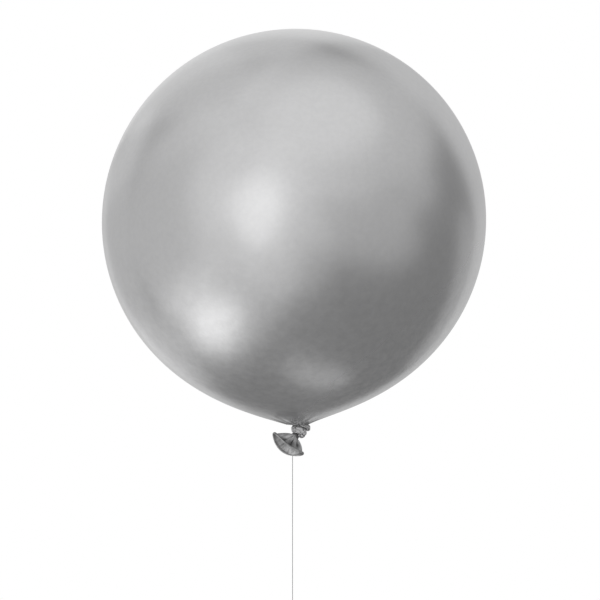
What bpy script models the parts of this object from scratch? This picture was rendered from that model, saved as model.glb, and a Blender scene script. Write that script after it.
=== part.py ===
"""A round party balloon of silver latex, 0.60 m across, tied at its neck, with its string hanging.

Run it with blender --background --python part.py, or from Blender's text editor.
Metres, +Z up. The origin is the centre of the round envelope, where the air lifts the balloon.
+X is to the right in the front view and +Y is away from it.
"""

import math

import bmesh
import bpy
from mathutils import Vector

# Envelope: a round skin, pulled into a shallow cone at the bottom by the neck.
BALL_RADIUS = 0.2995
SKIN = 0.0005  # stands for latex far thinner than a solid can show
NECK_PULL = 0.0232  # how far the cone's tip would hang below the round
NECK_PULL_REACH = math.radians(11.8)  # the angle over which the pull dies away
LEAN = 0.008  # the lower half leans this share of its depth to the left
NECK_SHIFT = 0.0157  # the neck itself is drawn over to the right
NECK_SHIFT_REACH = math.radians(4.5)
DIMPLE_RADIUS = 0.0165  # where the skin turns up round the knot
DIMPLE_RISE = 0.0040
NECK_HOLE_SHIFT = 0.0026  # the opening is this much further to the right than the dimple
NECK_HOLE = 0.0062  # radius of the skin's opening, where the neck goes through
BALL_SEGMENTS = 48
BALL_RINGS = 26
DIMPLE_RINGS = 4

# Knot: the neck itself in an overhand knot, a flattened strand. Each point of its middle line is
# right, back, up from the knot's centre, then half the strand's width and half its thickness.
KNOT_CENTRE = Vector((0.0104, 0.0, -0.3270))
MM = 0.001
KNOT_ROUTE = (
    (-2.4, 0.6, 17.4, 4.2, 4.2),  # inside the envelope
    (-2.0, 1.2, 12.8, 3.8, 3.8),  # through its opening
    (0.8, 3.4, 8.0, 3.1, 3.1),
    (3.6, 3.2, 3.0, 3.0, 3.0),  # down through the middle of the knot
    (3.0, 2.6, -1.4, 3.1, 3.0),
    (2.0, 1.8, -5.4, 3.5, 2.7),
    (1.7, -1.8, -8.4, 3.8, 2.3),  # turns to the front at the bottom
    (2.3, -5.8, -8.7, 3.4, 2.2),
    (4.3, -8.6, -7.1, 2.7, 2.2),
    (6.2, -9.8, -4.0, 2.6, 2.2),
    (5.0, -10.0, -0.8, 3.8, 2.2),
    (0.0, -9.2, 0.8, 5.2, 2.3),  # the broad band across the front, rising to the left
    (-5.8, -7.8, 2.2, 5.4, 2.4),
    (-10.4, -4.4, 3.1, 5.0, 2.5),
    (-11.6, 1.8, 3.3, 4.6, 2.5),
    (-6.4, 7.4, 3.2, 4.6, 2.4),  # behind
    (1.6, 9.4, 3.4, 4.6, 2.4),
    (9.2, 6.6, 3.8, 4.4, 2.4),
    (12.2, 0.6, 4.6, 4.0, 2.5),
    (9.8, -5.2, 6.8, 3.2, 2.4),  # over the top of the band
    (4.0, -6.4, 8.6, 3.0, 2.4),
    (-1.6, -4.8, 8.4, 2.9, 2.6),
    (-4.8, -2.0, 5.0, 2.9, 2.9),  # in under it
    (-4.9, -0.4, 1.2, 2.9, 2.9),
    (-4.9, -0.1, -1.2, 2.9, 2.9),
    (-5.6, -0.5, -3.5, 2.8, 2.8),  # out at the lower left, where the tail begins
)
KNOT_MIDDLE = (0.0, 0.0, 2.0)  # what the strand lies flat around, from the knot's centre
KNOT_STEPS = 4  # straight steps between two points of the route
KNOT_SIDES = 12

# Tail: the neck's free end below the knot, squeezed at its waist, then a skirt up to the rolled mouth.
TAIL_TOP = KNOT_CENTRE + Vector((-0.0060, -0.0002, -0.0053))
MOUTH_CENTRE = Vector((-0.0090, -0.0060, -0.3471))
MOUTH_LONG = Vector((0.817, 0.0, -0.577))  # the flattened mouth's long way, from upper left to lower right
MOUTH_DROP = Vector((-0.577, 0.0, -0.817))  # across it, down to the left
BACKWARD = Vector((0.0, 1.0, 0.0))
MOUTH_HALF_LONG = 0.0272
MOUTH_HALF_DEEP = 0.0095
FAR_LIP_DROP = 0.0160  # the far lip hangs this much lower than the mouth's ends
NEAR_LIP_DROP = 0.0012
SHOULDER_RADIUS = 0.0033
WAIST_HALF_LONG = 0.0056
WAIST_HALF_DEEP = 0.0042
WAIST_FROM = 0.0016  # along the tail, from its top
WAIST_TO = 0.0052
TAIL_WALL = 0.0008
CREASES = (22.5, 67.5, 112.5, 157.5, 247.5, 277.5, 307.5, 330.0)  # degrees round the skirt, between its folds
FOLD_RISE = 0.0045  # per radian between two creases
FOLD_MOST = 0.0036
FOLD_SUNK = 0.0014  # how far the creases lie inside a straight cone
SKIRT_BULGE = 0.0022  # how far the skirt's right side stands out besides, close to the waist
TAIL_SEGMENTS = 48
TAIL_RINGS = 7
HOLLOW_FROM = 0.34  # the share of the skirt's length, from the waist, where its walls part
BEAD_RADIUS = 0.0011
BEAD_ENDS = 0.9  # the share by which the lip is thicker where it folds, at the mouth's two ends
BEAD_STEPS = 56
LIP_GAP = 0.00045  # between the rolled lip and the skirt's edge

# String: tied round the tail's waist, it hangs plumb, and what is spare is folded into a tied hank.
STRING_RADIUS = 0.0005
LOOP_TURNS = 2
LOOP_PITCH = 0.0012
LOOP_LIFT = 0.0021  # how far the loop's ends rise off the waist into the string's knot
STRING_KNOT_ANGLE = math.radians(105)
STRING_KNOT_RADIUS = 0.0015
STRING_KNOT_OFF = 0.0032  # from the waist's surface to the string knot's middle
STRING_X = -0.0024
STRING_Y = 0.0066
STRING_BEND = 0.0042  # how far below its knot the string is plumb
STRING_STEPS = 40
HANK_TOP = -0.6060
HANK_RUN = 0.0160  # the straight part of its turns
HANK_FOLD = 0.0025  # the bend of its innermost turn
HANK_LAYERS = 4  # turns side by side, and also front to back
HANK_PITCH = 0.0011
HANK_WAIST = 0.0019  # how far the tie pulls each side in
HANK_WAIST_REACH = 0.0050
TIE_WRAPS = 3
TIE_PITCH = 0.00115
TIE_SLACK = 0.0003
END_LENGTH = 0.0220
GAP = 0.0003  # between two pieces that touch


def clear_scene():
    for old in list(bpy.data.objects):
        bpy.data.objects.remove(old)


def make_material(name, colour, roughness, metallic):
    material = bpy.data.materials.new(name)
    material.use_nodes = True
    shader = material.node_tree.nodes["Principled BSDF"]
    shader.inputs["Base Color"].default_value = (*colour, 1.0)
    shader.inputs["Roughness"].default_value = roughness
    shader.inputs["Metallic"].default_value = metallic
    return material


def mesh_object(name, bm, material):
    """Turns a bmesh into a named object with smooth round faces."""
    bmesh.ops.recalc_face_normals(bm, faces=bm.faces)
    mesh = bpy.data.meshes.new(name)
    bm.to_mesh(mesh)
    bm.free()
    mesh.shade_smooth()
    mesh.set_sharp_from_angle(angle=math.radians(50))
    mesh.materials.append(material)
    made = bpy.data.objects.new(name, mesh)
    bpy.context.scene.collection.objects.link(made)
    return made


def tube_object(name, points, radius, sides, material, closed=False):
    """A round tube along the points, open with filled caps or closed into a ring."""
    curve = bpy.data.curves.new(name, "CURVE")
    curve.dimensions = "3D"
    curve.bevel_depth = radius
    curve.bevel_resolution = sides // 2 - 2
    curve.use_fill_caps = not closed
    spline = curve.splines.new("POLY")
    spline.points.add(len(points) - 1)
    spline.use_cyclic_u = closed
    for node, place in zip(spline.points, points):
        node.co = (*place, 1.0)
    curve.materials.append(material)
    made = bpy.data.objects.new(name, curve)
    bpy.context.scene.collection.objects.link(made)
    return made


def smooth_route(points, steps):
    """Points on a smooth curve through all the given ones; each may carry more values than three."""
    ends = [points[0], *points, points[-1]]
    route = []
    for i in range(len(points) - 1):
        before, here, there, after = (Vector(p) for p in ends[i : i + 4])
        for k in range(steps):
            t = k / steps
            route.append(
                0.5
                * (
                    2 * here
                    + t * (there - before)
                    + t * t * (2 * before - 5 * here + 4 * there - after)
                    + t * t * t * (3 * here - before - 3 * there + after)
                )
            )
    route.append(Vector(points[-1]))
    return route


def add_loft(bm, rings):
    """Joins rings of points into one closed body, with a flat cap on the first and the last ring."""
    made = [[bm.verts.new(point) for point in ring] for ring in rings]
    for low, high in zip(made, made[1:]):
        for i in range(len(low)):
            j = (i + 1) % len(low)
            bm.faces.new((low[i], low[j], high[j], high[i]))
    bm.faces.new(made[0])
    bm.faces.new(made[-1])


def skin_point(angle, inward):
    """(radius, height, shift to the right) of the envelope's skin, at an angle from straight down."""
    reach = BALL_RADIUS + NECK_PULL * math.exp(-angle / NECK_PULL_REACH) - inward
    shift = NECK_SHIFT * math.exp(-angle / NECK_SHIFT_REACH)
    return reach * math.sin(angle), -reach * math.cos(angle), shift


def skin_rings(inward):
    """The skin's rings from near the crown down to its opening at the neck, moved in by a wall's share."""
    dimple_angle = DIMPLE_RADIUS / (BALL_RADIUS + NECK_PULL)
    rings = []
    for i in range(1, BALL_RINGS + 1):
        share = i / BALL_RINGS
        rings.append(skin_point(math.pi * (1 - share) + dimple_angle * share, inward))
    rim, low, shift = rings[-1]
    for i in range(1, DIMPLE_RINGS + 1):
        share = i / DIMPLE_RINGS
        rise = DIMPLE_RISE * math.sin(share * math.pi / 2)
        rings.append((rim + (NECK_HOLE - rim) * share, low + rise, shift + NECK_HOLE_SHIFT * share))
    return rings


def make_envelope(material):
    """The skin is one closed body: down its outside to the opening at the neck, and back up its inside."""
    bm = bmesh.new()

    def ring_of(radius, height, shift):
        ring = []
        for i in range(BALL_SEGMENTS):
            turn = 2 * math.pi * i / BALL_SEGMENTS
            across = radius * math.cos(turn) + LEAN * height + shift
            ring.append(bm.verts.new((across, radius * math.sin(turn), height)))
        return ring

    def pole(inward):
        top = BALL_RADIUS - inward
        return bm.verts.new((LEAN * top, 0.0, top))

    outside = [ring_of(*ring) for ring in skin_rings(0.0)]
    inside = [ring_of(*ring) for ring in skin_rings(SKIN)]
    rings = outside + inside[::-1]
    for low, high in zip(rings, rings[1:]):
        for i in range(BALL_SEGMENTS):
            j = (i + 1) % BALL_SEGMENTS
            bm.faces.new((low[i], low[j], high[j], high[i]))
    for crown, ring in ((pole(0.0), rings[0]), (pole(SKIN), rings[-1])):
        for i in range(BALL_SEGMENTS):
            bm.faces.new((crown, ring[i], ring[(i + 1) % BALL_SEGMENTS]))
    return mesh_object("envelope", bm, material)


def strand_rings(route, sides):
    """Oval rings along a flattened strand, whose thin way faces out from the middle of the knot."""
    middle = [Vector(p[:3]) for p in route]
    side = Vector((1.0, 0.0, 0.0))
    rings = []
    for i, place in enumerate(middle):
        ahead = (middle[min(i + 1, len(middle) - 1)] - middle[max(i - 1, 0)]).normalized()
        side = (side - side.dot(ahead) * ahead).normalized()
        other = ahead.cross(side)
        outward = place - Vector(KNOT_MIDDLE)
        outward = (outward - outward.dot(ahead) * ahead).normalized()
        edgeways = ahead.cross(outward)
        wide, thick = route[i][3], route[i][4]
        ring = []
        for k in range(sides):
            turn = 2 * math.pi * k / sides
            ray = math.cos(turn) * side + math.sin(turn) * other
            reach = math.hypot(ray.dot(outward) / thick, ray.dot(edgeways) / wide)
            ring.append(KNOT_CENTRE + MM * (place + ray / reach))
        rings.append(ring)
    return rings


def make_neck_knot(material):
    """The neck's flattened strand, tied in an overhand knot."""
    bm = bmesh.new()
    add_loft(bm, strand_rings(smooth_route(KNOT_ROUTE, KNOT_STEPS), KNOT_SIDES))
    return mesh_object("neck_knot", bm, material)


def mouth_point(angle):
    """The middle line of the mouth's rolled lip. From 0 to half a turn it is the far lip."""
    across = math.sin(angle)
    tilt = (FAR_LIP_DROP - NEAR_LIP_DROP) / 2
    bow = (FAR_LIP_DROP + NEAR_LIP_DROP) / 2
    return (
        MOUTH_CENTRE
        + MOUTH_HALF_LONG * math.cos(angle) * MOUTH_LONG
        + (tilt * across + bow * across * across) * MOUTH_DROP
        + MOUTH_HALF_DEEP * across * BACKWARD
    )


def bead_radius(angle):
    return BEAD_RADIUS * (1 + BEAD_ENDS * math.cos(angle) ** 8)


def tail_axes():
    """(along the tail, towards the right, towards the back), each of length 1."""
    along = (MOUTH_CENTRE - TAIL_TOP).normalized()
    back = (BACKWARD - BACKWARD.dot(along) * along).normalized()
    return along, along.cross(back).normalized(), back


def waist_point(angle, along_by, off=0.0, half_long=WAIST_HALF_LONG, half_deep=WAIST_HALF_DEEP):
    """A point round the tail's waist, which is oval, off its surface by the given amount."""
    along, right, back = tail_axes()
    surface = half_long * math.cos(angle) * right + half_deep * math.sin(angle) * back
    outward = half_deep * math.cos(angle) * right + half_long * math.sin(angle) * back
    return TAIL_TOP + along_by * along + surface + off * outward.normalized()


def round_fold(angle):
    """How far the skirt stands out at an angle: round folds between creases, higher where they are wide."""
    turn = math.degrees(angle) % 360
    before = max((crease for crease in CREASES if crease <= turn), default=CREASES[-1] - 360)
    after = min((crease for crease in CREASES if crease > turn), default=CREASES[0] + 360)
    rise = min(FOLD_MOST, FOLD_RISE * math.radians(after - before))
    return rise * math.sin(math.pi * (turn - before) / (after - before)) ** 0.8 - FOLD_SUNK


def skirt_ring(share, inward):
    """One ring of the skirt, share 0 at the waist's lower end and 1 just short of the rolled lip."""
    along = tail_axes()[0]
    middle = (TAIL_TOP + WAIST_TO * along).lerp(MOUTH_CENTRE, share)
    folded = math.sin(math.pi * share**0.7)
    bulging = math.sin(math.pi * share**0.5)
    ring = []
    for i in range(TAIL_SEGMENTS):
        angle = 2 * math.pi * i / TAIL_SEGMENTS
        top = waist_point(angle, WAIST_TO)
        lip = mouth_point(angle)
        lip += (bead_radius(angle) + LIP_GAP) * (top - lip).normalized()
        bulge = SKIRT_BULGE * max(0.0, math.cos(angle)) ** 2
        out = round_fold(angle) * folded + bulge * bulging - inward
        point = top.lerp(lip, share)
        ring.append(point + out * (point - middle).normalized())
    return ring


def make_neck_tail(material):
    """The waist is solid, being squeezed shut by the string; below it the skirt is a thin hollow flare."""
    circle = [2 * math.pi * i / TAIL_SEGMENTS for i in range(TAIL_SEGMENTS)]
    shoulder = SHOULDER_RADIUS
    rings = [[waist_point(a, 0.0, half_long=shoulder, half_deep=shoulder) for a in circle]]
    rings += [[waist_point(a, WAIST_FROM) for a in circle]]
    shares = [i / TAIL_RINGS for i in range(TAIL_RINGS + 1)]
    rings += [skirt_ring(share, 0.0) for share in shares]
    rings += [skirt_ring(share, TAIL_WALL) for share in reversed(shares) if share > HOLLOW_FROM]
    bm = bmesh.new()
    add_loft(bm, rings)
    return mesh_object("neck_tail", bm, material)


def make_mouth_bead(material):
    angles = [2 * math.pi * i / BEAD_STEPS for i in range(BEAD_STEPS)]
    bead = tube_object("mouth_bead", [mouth_point(a) for a in angles], 1.0, 10, material, closed=True)
    for node, angle in zip(bead.data.splines[0].points, angles):
        node.radius = bead_radius(angle)
    return bead


def make_string_loop(material):
    """Two turns round the waist, whose ends rise into the string's own knot."""
    clear = math.radians(21)
    steps = 24 * LOOP_TURNS
    middle = (WAIST_FROM + WAIST_TO) / 2
    points = []
    for i in range(steps + 1):
        share = i / steps
        angle = STRING_KNOT_ANGLE + clear + share * (2 * math.pi * LOOP_TURNS - 2 * clear)
        near_end = max(0.0, 1 - min(share, 1 - share) * steps / 3)
        off = GAP + STRING_RADIUS + LOOP_LIFT * near_end * near_end
        points.append(waist_point(angle, middle + LOOP_PITCH * LOOP_TURNS * (share - 0.5), off))
    return tube_object("string_loop", points, STRING_RADIUS, 8, material)


def string_knot_centre():
    return waist_point(STRING_KNOT_ANGLE, (WAIST_FROM + WAIST_TO) / 2, STRING_KNOT_OFF)


def make_string_knot(material):
    bm = bmesh.new()
    bmesh.ops.create_icosphere(bm, subdivisions=2, radius=STRING_KNOT_RADIUS)
    bmesh.ops.translate(bm, verts=bm.verts, vec=string_knot_centre())
    return mesh_object("string_knot", bm, material)


def hank_half_width(height, outline):
    """Half the hank's width at a height from its middle, for the turn that reaches outline sideways."""
    beyond = abs(height) - HANK_RUN / 2
    width = outline if beyond <= 0 else math.sqrt(max(0.0, outline * outline - beyond * beyond))
    return width - HANK_WAIST * math.exp(-((height / HANK_WAIST_REACH) ** 2))


def hank_reach():
    return HANK_FOLD + (HANK_LAYERS - 1) * HANK_PITCH + STRING_RADIUS


def hank_middle():
    return HANK_TOP - HANK_RUN / 2 - hank_reach()


def make_hank(material):
    """The hank's outer shape: an outline with round ends and a waist at the tie, as thick as its layers."""
    reach = hank_reach()
    tall = HANK_RUN / 2 + reach
    steps = 22
    heights = [tall * math.cos(math.pi * i / steps) for i in range(1, steps)]
    right = [(hank_half_width(h, reach), h) for h in heights]
    left = [(-w, h) for w, h in reversed(right)]
    outline = [(0.0, tall), *right, (0.0, -tall), *left]
    thick = HANK_LAYERS * HANK_PITCH
    front = STRING_Y - thick / 2
    bm = bmesh.new()
    face = bm.faces.new([bm.verts.new((STRING_X + w, front, hank_middle() + h)) for w, h in outline])
    grown = bmesh.ops.extrude_face_region(bm, geom=[face])
    back = [g for g in grown["geom"] if isinstance(g, bmesh.types.BMVert)]
    bmesh.ops.translate(bm, verts=back, vec=(0, thick, 0))
    return mesh_object("string_hank", bm, material)


def make_hank_tie(material):
    """A few wraps of string round the hank's waist, as one spiral with round corners."""
    side = hank_half_width(0.0, hank_reach()) + TIE_SLACK
    face = HANK_LAYERS * HANK_PITCH / 2
    bend = STRING_RADIUS + GAP
    corners = [(side, face, 0), (-side, face, 90), (-side, -face, 180), (side, -face, 270)]
    lap = []
    for x, y, start in corners:
        for turn in (0, 30, 60, 90):
            angle = math.radians(start + turn)
            lap.append((x + bend * math.cos(angle), y + bend * math.sin(angle)))
    points = []
    for i in range(len(lap) * TIE_WRAPS):
        x, y = lap[i % len(lap)]
        height = TIE_PITCH * (i / len(lap) - TIE_WRAPS / 2)
        points.append(Vector((STRING_X + x, STRING_Y + y, hank_middle() + height)))
    return tube_object("hank_tie", points, STRING_RADIUS, 8, material)


def make_string(material):
    """The straight hanging run, from the string's knot down to the hank."""
    knot = string_knot_centre()
    plumb = Vector((STRING_X, STRING_Y, knot.z - STRING_BEND))
    sideways = Vector((plumb.x - knot.x, plumb.y - knot.y, 0.0))
    leave = knot + (STRING_KNOT_RADIUS + 1.5 * GAP) * (sideways.normalized() - Vector((0, 0, 1))).normalized()
    turn = leave.lerp(plumb, 0.5) + 0.2 * sideways
    run = [p.to_3d() for p in smooth_route([tuple(leave), tuple(turn), tuple(plumb)], 3)]
    drop = plumb.z - (HANK_TOP + GAP)
    for i in range(1, STRING_STEPS + 1):
        run.append(plumb - Vector((0, 0, drop * i / STRING_STEPS)))
    return tube_object("string", run, STRING_RADIUS, 8, material)


def make_string_end(material):
    """The string's cut end, hanging out of the bottom of the hank."""
    top = hank_middle() - HANK_RUN / 2 - hank_reach() - GAP
    points = [Vector((STRING_X, STRING_Y, top - END_LENGTH * i / 8)) for i in range(9)]
    return tube_object("string_end", points, STRING_RADIUS, 8, material)


def main():
    clear_scene()
    silver_latex = make_material("silver_latex", (0.62, 0.62, 0.63), 0.34, 0.9)
    neck_latex = make_material("neck_latex", (0.36, 0.36, 0.37), 0.42, 0.7)
    grey_cord = make_material("grey_cord", (0.45, 0.45, 0.46), 0.6, 0.0)
    make_envelope(silver_latex)
    make_neck_knot(neck_latex)
    make_neck_tail(neck_latex)
    make_mouth_bead(neck_latex)
    make_string_loop(grey_cord)
    make_string_knot(grey_cord)
    make_string(grey_cord)
    make_hank(grey_cord)
    make_hank_tie(grey_cord)
    make_string_end(grey_cord)


main()
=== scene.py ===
"""Looks of the round silver balloon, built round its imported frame.

Metres, +Z up, the origin at the centre of the round envelope. +X is to the right in the photograph.
Every shape repeats the formula and the measures of its solid, with finer steps and the folds,
pleats and twisted threads that the solids leave out.
"""

import math

import bpy
from mathutils import Matrix, Vector, noise


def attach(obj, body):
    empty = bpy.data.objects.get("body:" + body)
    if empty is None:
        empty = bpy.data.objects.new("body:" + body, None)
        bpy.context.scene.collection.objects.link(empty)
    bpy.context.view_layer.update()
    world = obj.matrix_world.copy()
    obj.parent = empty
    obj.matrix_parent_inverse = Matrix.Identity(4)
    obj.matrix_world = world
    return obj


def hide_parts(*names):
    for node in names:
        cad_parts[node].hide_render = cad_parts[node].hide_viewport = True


MM = 0.001
FULL_TURN = 2 * math.pi

# Camera: level, a little right of the balloon's middle and below it, with a long lens.
CAMERA_PLACE = (0.0093, -3.0, -0.1224)
CAMERA_LENS = 114.9  # mm
CAMERA_SENSOR = 36.0

# Envelope
BALL_RADIUS = 0.2995
NECK_PULL = 0.0232  # how far the tip of the neck's cone would hang below the round
NECK_PULL_REACH = math.radians(11.8)
LEAN = 0.008  # the lower half leans this share of its depth to the left
NECK_SHIFT = 0.0157  # the neck itself is drawn over to the right
NECK_SHIFT_REACH = math.radians(4.5)
DIMPLE_RADIUS = 0.0165  # where the skin turns up round the knot
DIMPLE_RISE = 0.0040
NECK_HOLE = 0.0062  # the radius of the opening at the top of that dimple
NECK_HOLE_SHIFT = 0.0026  # how much further right it lies
BALL_SEGMENTS = 288
BALL_RINGS = 110
PUCKER_RINGS = 40  # more rings close to the neck, where the skin is gathered
PUCKER_FROM = math.radians(16)
DIMPLE_RINGS = 10
PUCKERS = 23  # gathered folds round the neck
PUCKER_DEPTH = 0.0009
PUCKER_EVEN = 0.55  # the share of that depth which all of them have
PUCKER_UNEVEN = 0.9  # and the share by which some are deeper and others shallower
PUCKER_WANDER = 5  # radians that they wander to either side
PUCKER_NOISE = (2.6, 0.7)  # how quickly they change round the neck, and where in the noise
PUCKER_DRAW = 0.4  # a fold is drawn in by this share of its depth
SKIN_ON_STRAND = 0.92  # the skin ends at this share of the strand's half width
PUCKER_SHADE = 0.15  # painted shade: the crease value halfway between two puckers
PUCKER_SHADE_FADE = 8  # how quickly their painted shade fades away from the neck
CONE_SHADE = 0.75  # painted shade: the crease value at the sides of the neck's cone
CONE_SHADE_FADE = 1.2

# Knot: right, back, up from its centre, then the strand's half width and half thickness, in mm.
KNOT_CENTRE = Vector((0.0104, 0.0, -0.3270))
KNOT_ROUTE = (
    (-2.4, 0.6, 17.4, 4.2, 4.2),  # inside the envelope
    (-2.0, 1.2, 12.8, 3.8, 3.8),  # through its opening
    (0.8, 3.4, 8.0, 3.1, 3.1),
    (3.6, 3.2, 3.0, 3.0, 3.0),  # down through the middle of the knot
    (3.0, 2.6, -1.4, 3.1, 3.0),
    (2.0, 1.8, -5.4, 3.5, 2.7),
    (1.7, -1.8, -8.4, 3.8, 2.3),  # turns to the front at the bottom
    (2.3, -5.8, -8.7, 3.4, 2.2),
    (4.3, -8.6, -7.1, 2.7, 2.2),
    (6.2, -9.8, -4.0, 2.6, 2.2),
    (5.0, -10.0, -0.8, 3.8, 2.2),
    (0.0, -9.2, 0.8, 5.2, 2.3),  # the broad band across the front, rising to the left
    (-5.8, -7.8, 2.2, 5.4, 2.4),
    (-10.4, -4.4, 3.1, 5.0, 2.5),
    (-11.6, 1.8, 3.3, 4.6, 2.5),
    (-6.4, 7.4, 3.2, 4.6, 2.4),  # behind
    (1.6, 9.4, 3.4, 4.6, 2.4),
    (9.2, 6.6, 3.8, 4.4, 2.4),
    (12.2, 0.6, 4.6, 4.0, 2.5),
    (9.8, -5.2, 6.8, 3.2, 2.4),  # over the top of the band
    (4.0, -6.4, 8.6, 3.0, 2.4),
    (-1.6, -4.8, 8.4, 2.9, 2.6),
    (-4.8, -2.0, 5.0, 2.9, 2.9),  # in under it
    (-4.9, -0.4, 1.2, 2.9, 2.9),
    (-4.9, -0.1, -1.2, 2.9, 2.9),
    (-5.6, -0.5, -3.5, 2.8, 2.8),  # out at the lower left, where the tail begins
)
KNOT_MIDDLE = (0.0, 0.0, 2.0)  # what the strand lies flat around
KNOT_STEPS = 12
KNOT_SIDES = 72
KNOT_SWELL = 0.35  # mm that the soft strand fills out, so that its laps touch
KNOT_TURN = 8.2  # the point of the route about which the strand turns up, at the bottom of the knot
KNOT_TURN_REACH = 1.5  # points
KNOT_TUCK = Vector((-0.5, 0.0, 0.5))  # mm that this turn is drawn in towards the waist
KNOT_PLEATS = 6  # folds along the strand
KNOT_PLEAT_DEPTH = 0.15  # as a share of the strand's half width
KNOT_PLEAT_EVEN = 0.6  # the share of that depth which all of them have
KNOT_PLEAT_WANDER = 6  # radians that they wander to either side
KNOT_PLEAT_EASE = 0.5  # the share of it that they lose in the turn
KNOT_LINES = 17  # finer folds between them
KNOT_LINE_DEPTH = 0.03
KNOT_LINE_WANDER = -9  # against the pleats
KNOT_TWIST = math.radians(-2.8)  # how far the folds turn round the strand from ring to ring
KNOT_NOISE = (1.4, 0.045)  # how quickly their unevenness changes round the strand, and from ring to ring
KNOT_WRINKLES = 0.9  # small cross folds in the turn, per point of the route
KNOT_WRINKLE_DEPTH = 0.17
KNOT_SHADE = 0.2  # painted shade: crease value of a plain place on the strand
KNOT_LINE_SHADE = 0.1
KNOT_WRINKLE_SHADE = 1.4

# Tail: the neck's free end, squeezed at its waist, then a skirt up to the rolled mouth.
TAIL_TOP = KNOT_CENTRE + Vector((-0.0060, -0.0002, -0.0053))
MOUTH_CENTRE = Vector((-0.0090, -0.0060, -0.3471))
MOUTH_LONG = Vector((0.817, 0.0, -0.577))  # along the mouth, down to the right
MOUTH_DROP = Vector((-0.577, 0.0, -0.817))  # and square to it, down to the left
BACKWARD = Vector((0.0, 1.0, 0.0))
MOUTH_HALF_LONG = 0.0272
MOUTH_HALF_DEEP = 0.0095
FAR_LIP_DROP = 0.0160  # how far the far lip hangs below the mouth's middle
NEAR_LIP_DROP = 0.0012
SHOULDER_RADIUS = 0.0033
WAIST_HALF_LONG = 0.0056
WAIST_HALF_DEEP = 0.0042
WAIST_FROM = 0.0016
WAIST_TO = 0.0052
WAIST_SHADE = 0.7  # painted shade: crease value
NECK_IN_KNOT = 0.0022  # how far the tail reaches up into the knot
NECK_ON_STRAND = 0.9  # its half width there, as a share of the strand's
SHOULDER_RINGS = 6
WAIST_RINGS = 4
TAIL_WALL = 0.0005
CREASES = (22.5, 67.5, 112.5, 157.5, 247.5, 277.5, 307.5, 330.0)  # degrees round the skirt
FOLD_RISE = 0.0045  # per radian between two creases
FOLD_MOST = 0.0036
FOLD_SUNK = 0.0014  # how far the creases lie inside a straight cone
FOLD_ROUNDNESS = 0.8  # below 1, folds are broad and the creases between them sharp
FOLD_PEAK = 0.7  # below 1, the folds stand out most above the middle of the skirt
SKIRT_BULGE = 0.0022  # how far the skirt's right side stands out besides, close to the waist
BULGE_PEAK = 0.5
FINE_FOLDS = 20
FINE_FOLD_DEPTH = 0.0004
FINE_FOLD_WANDER = 7
FINE_FOLD_NOISE = (2.0, 3.1)
GROOVE_DEPTH = 0.0007  # beside the rolled lip: outside on its near side, inside on its far side
GROOVE_AT = 0.93
GROOVE_REACH = 0.10
TAIL_SEGMENTS = 480
TAIL_RINGS = 36
BEAD_RADIUS = 0.0011
BEAD_ENDS = 0.9  # the share by which the lip is thicker where it folds, at the mouth's two ends
BEAD_ENDS_FADE = 8  # how quickly it thins away from them
BEAD_OVER_SKIRT = 0.6  # the skirt ends this share of the lip's radius short of its middle
BEAD_UNEVEN = 0.10
BEAD_NOISE = (3.0, 1.7)
BEAD_LINES = 5  # lines of the roll
BEAD_LINE_DEPTH = 0.05
BEAD_LINE_WANDER = 2
BEAD_STEPS = 240
BEAD_SIDES = 28

# Crease values of the tail, painted shade and painted light: 0 on a light fold, 1 in the darkest hollow
SKIRT_SHADE = 0.12
SKIRT_CLOUD_SHADE = 0.45
SKIRT_NOISE = (1.6, 2.5)  # how quickly its clouds change round it and along it
SKIRT_CREASE_SHADE = 0.5
SKIRT_CREASE_EVEN = 0.75
SKIRT_CREASE_FADE = 1.3
SKIRT_FINE_SHADE = 0.5
SKIRT_LIP_SHADE = 0.6  # painted shade on the near side, beside the lip
SKIRT_LIP_AT = 0.80
SKIRT_LIP_REACH = 0.28
SKIRT_FOLD_PAINTED_LIGHT = 120  # painted light: lighter by this for each metre that a fold stands out
SKIRT_FOLD_PAINTED_LIGHT_EASE = 0.5  # the share of that lost at the lip
SKIRT_LEFT_PAINTED_LIGHT = 1.1  # painted light: the left front is lighter
# painted shade inside the skirt
INSIDE_SHADE = 0.18
INSIDE_CONTRAST = 0.45
INSIDE_EDGE_SHADE = 0.3  # painted shade along the far lip
INSIDE_EDGE_CLOUD = 0.5
INSIDE_EDGE_AT = 0.95
INSIDE_EDGE_REACH = 0.05
# painted shade on the rolled lip, as crease values
BEAD_SHADE = 0.22
BEAD_LUMP_SHADE = 0.3
BEAD_END_SHADE = 0.4
BEAD_END_FADE = 16

# String
STRING_RADIUS = 0.0005
THREAD_PITCH = 0.0032  # one turn of its twist
THREAD_PLIES = 3
THREAD_GROOVE = 0.12  # as a share of its radius
THREAD_SIDES = 12
THREAD_STEPS = 8  # in one turn
LOOP_TURNS = 2
LOOP_STEPS = 40  # in one turn
LOOP_PITCH = 0.0012
LOOP_SINK = 0.8  # the loop's middle line is this share of the string's radius off the waist
LOOP_LIFT = 0.0021  # how far its ends rise towards the string's knot
LOOP_LIFT_STEPS = 5
LOOP_CLEAR = math.radians(21)  # on both sides of that knot
STRING_KNOT_ANGLE = math.radians(105)
STRING_KNOT_RADIUS = 0.0015
STRING_KNOT_OFF = 0.0032  # its middle, off the waist
STRING_KNOT_THREAD = 0.3  # the trefoil's unit, as a share of the knot's radius
STRING_KNOT_STEPS = 60
STRING_X = -0.0024
STRING_Y = 0.0066
STRING_GAPS = 1.5  # gaps between that knot and the straight string
STRING_BEND = 0.0042  # how far below the knot it hangs plumb
STRING_SWING = 0.2  # the share by which it swings out in that bend
STRING_STEPS = 40
HANK_TOP = -0.6060
HANK_LEAD = 0.0055  # the string's straight run ends this far above it
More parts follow.
